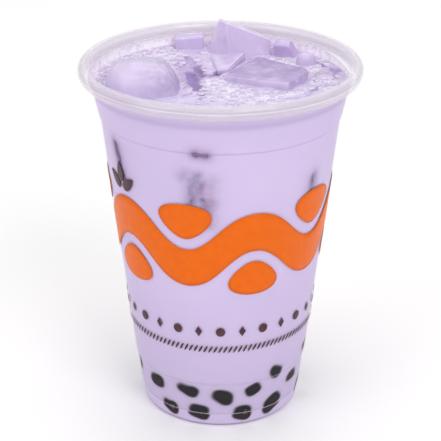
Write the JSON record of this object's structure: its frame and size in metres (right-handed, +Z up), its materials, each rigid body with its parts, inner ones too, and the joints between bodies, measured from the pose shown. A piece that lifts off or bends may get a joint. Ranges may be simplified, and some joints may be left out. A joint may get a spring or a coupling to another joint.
{
  "type": "taro bubble tea",
  "caption": "Iced taro milk tea with tapioca pearls in a clear tapered plastic cup with a rolled lip, ice standing out of the foam and a printed wave band round the wall.",
  "frame": {"origin": "centre of the cup's foot, on the surface it stands on", "axes": "+Z up along the cup's axis, -Y towards the side that the picture shows, +X to the right of it"},
  "size_m": [0.095, 0.095, 0.1301],
  "materials": {
    "cup_plastic": "clear, slightly milky polypropylene, glossy",
    "milk_tea": "opaque lavender milk tea with a foamy surface",
    "ice": "wet, cloudy ice tinted by the drink",
    "tapioca_pearl": "near black, soft and wet",
    "ink_orange": "flat orange print",
    "ink_brown": "flat dark brown print"
  },
  "bodies": {
    "root": {"cup": "cup_plastic", "drink": "milk_tea", "ice_block_back": "ice", "ice_block_front": "ice", "ice_block_middle": "ice", "ice_block_side": "ice", "ice_block_left": "ice", "ice_dome_left": "ice", "ice_dome_right": "ice"}
  },
  "joints": []
}
